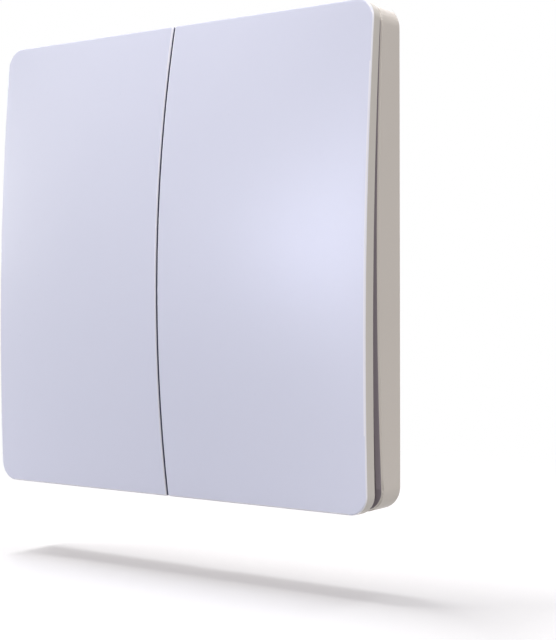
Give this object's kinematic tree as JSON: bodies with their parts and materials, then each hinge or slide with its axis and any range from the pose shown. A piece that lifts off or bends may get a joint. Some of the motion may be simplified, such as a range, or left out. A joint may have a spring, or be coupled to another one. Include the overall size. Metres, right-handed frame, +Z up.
{
  "type": "wireless wall switch",
  "caption": "Square wireless wall switch with a pillow-shaped face of spring-back rockers over a shallow housing, held by a screw plate and an adhesive pad.",
  "frame": {"origin": "middle of the adhesive pad's face on the wall", "axes": "+Y into the wall, +Z up, +X to the right for someone facing the switch; the rockers face -Y"},
  "size_m": [0.086, 0.0139, 0.086],
  "materials": {
    "rocker": "white polycarbonate with a fine satin finish",
    "housing": "warm white moulded plastic",
    "wall_plate": "warm white moulded plastic",
    "adhesive": "closed-cell foam tape",
    "silicone": "soft silicone",
    "board": "solder mask on glass-fibre board",
    "radio_board": "solder mask on glass-fibre board",
    "screw_steel": "zinc plated",
    "cell_steel": "nickel-plated can",
    "shield_steel": "tinned sheet",
    "contact_brass": "plated phosphor bronze",
    "black_plastic": "moulded nylon",
    "chip_ceramic": "sintered",
    "led_lens": "clear epoxy lens"
  },
  "bodies": {
    "root": {"housing": "housing", "wall_plate": "wall_plate", "adhesive_pad": "adhesive", "key_dampers": "silicone", "circuit_board": "board", "board_screws": "screw_steel", "coin_cell": "cell_steel", "battery_holder": "black_plastic", "battery_contact_negative": "contact_brass", "battery_contact_positive": "contact_brass", "radio_board": "radio_board", "radio_shield": "shield_steel", "radio_chip": "black_plastic", "small_components": "chip_ceramic", "status_led": "led_lens", "tact_terminals": "shield_steel", "tact_left_base": "black_plastic", "tact_left_cover": "shield_steel", "tact_left_dome": "contact_brass", "tact_right_base": "black_plastic", "tact_right_cover": "shield_steel", "tact_right_dome": "contact_brass"},
    "rocker_left": {"rocker_left": "rocker"},
    "rocker_right": {"rocker_right": "rocker"},
    "plunger_left": {"tact_left_plunger": "black_plastic"},
    "plunger_right": {"tact_right_plunger": "black_plastic"}
  },
  "joints": [
    {"name": "rocker_left_tilt", "type": "hinge", "parent": "root", "child": "rocker_left", "pos_m": [0, -0.0068, 0.038], "axis": [1, 0, 0], "range_deg": [0, 1], "stiffness_Nm_per_rad": 3, "springref_deg": -1.15},
    {"name": "rocker_right_tilt", "type": "hinge", "parent": "root", "child": "rocker_right", "pos_m": [0, -0.0068, 0.038], "axis": [1, 0, 0], "range_deg": [0, 1], "stiffness_Nm_per_rad": 3, "springref_deg": -1.15},
    {"name": "plunger_left_press", "type": "slide", "parent": "root", "child": "plunger_left", "axis": [0, 1, 0], "range_m": [0, 0.0006], "deforming": ["tact_left_dome"]},
    {"name": "plunger_right_press", "type": "slide", "parent": "root", "child": "plunger_right", "axis": [0, 1, 0], "range_m": [0, 0.0006], "deforming": ["tact_right_dome"]}
  ],
  "couplings": [
    {"joint": "plunger_left_press", "follows": "rocker_left_tilt", "m_per_rad": 0.029},
    {"joint": "plunger_right_press", "follows": "rocker_right_tilt", "m_per_rad": 0.029}
  ]
}
